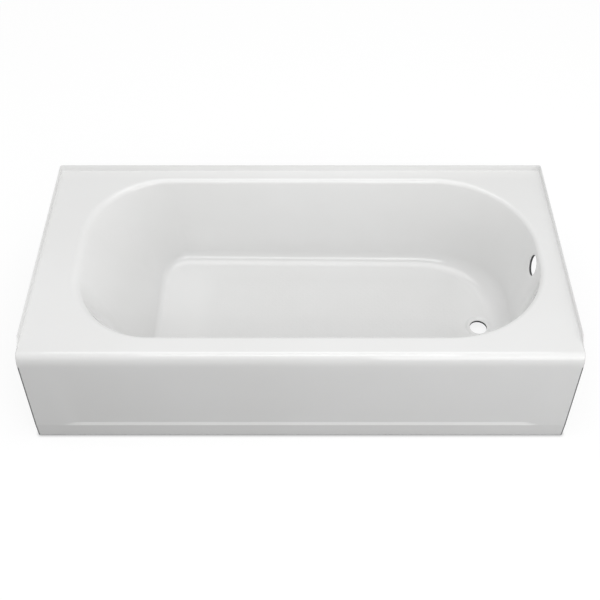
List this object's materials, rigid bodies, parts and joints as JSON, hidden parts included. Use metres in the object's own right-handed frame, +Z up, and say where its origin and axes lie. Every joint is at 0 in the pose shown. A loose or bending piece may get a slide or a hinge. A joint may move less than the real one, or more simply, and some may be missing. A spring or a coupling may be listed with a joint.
{
  "type": "alcove bathtub",
  "caption": "White enamelled steel alcove bathtub with front apron, tile flange, sloping backrest, and drain and overflow holes at one end.",
  "frame": {"origin": "centre of the bath's length and width, on the floor it stands on", "axes": "+X along the bath towards the drain end, +Y from the apron towards the wall behind, +Z up"},
  "size_m": [1.524, 0.762, 0.391],
  "materials": {
    "enamel": "gloss white porcelain enamel",
    "composite": "dull mineral-filled composite",
    "galvanised": "galvanised sheet",
    "foam": "expanded foam",
    "foot": "moulded, dull",
    "pad": "dull"
  },
  "bodies": {
    "root": {"tub_shell": "enamel", "basin_backing": "composite", "deck_backing": "composite", "apron_backing": "composite", "apron_rail": "galvanised", "apron_brace_left": "galvanised", "apron_brace_centre": "galvanised", "apron_brace_right": "galvanised", "floor_foam": "foam", "foot_front_left": "foot", "foot_front_right": "foot", "foot_rear_left": "foot", "foot_rear_right": "foot", "foot_pad_front_left": "pad", "foot_pad_front_right": "pad", "foot_pad_rear_left": "pad", "foot_pad_rear_right": "pad"}
  },
  "joints": []
}
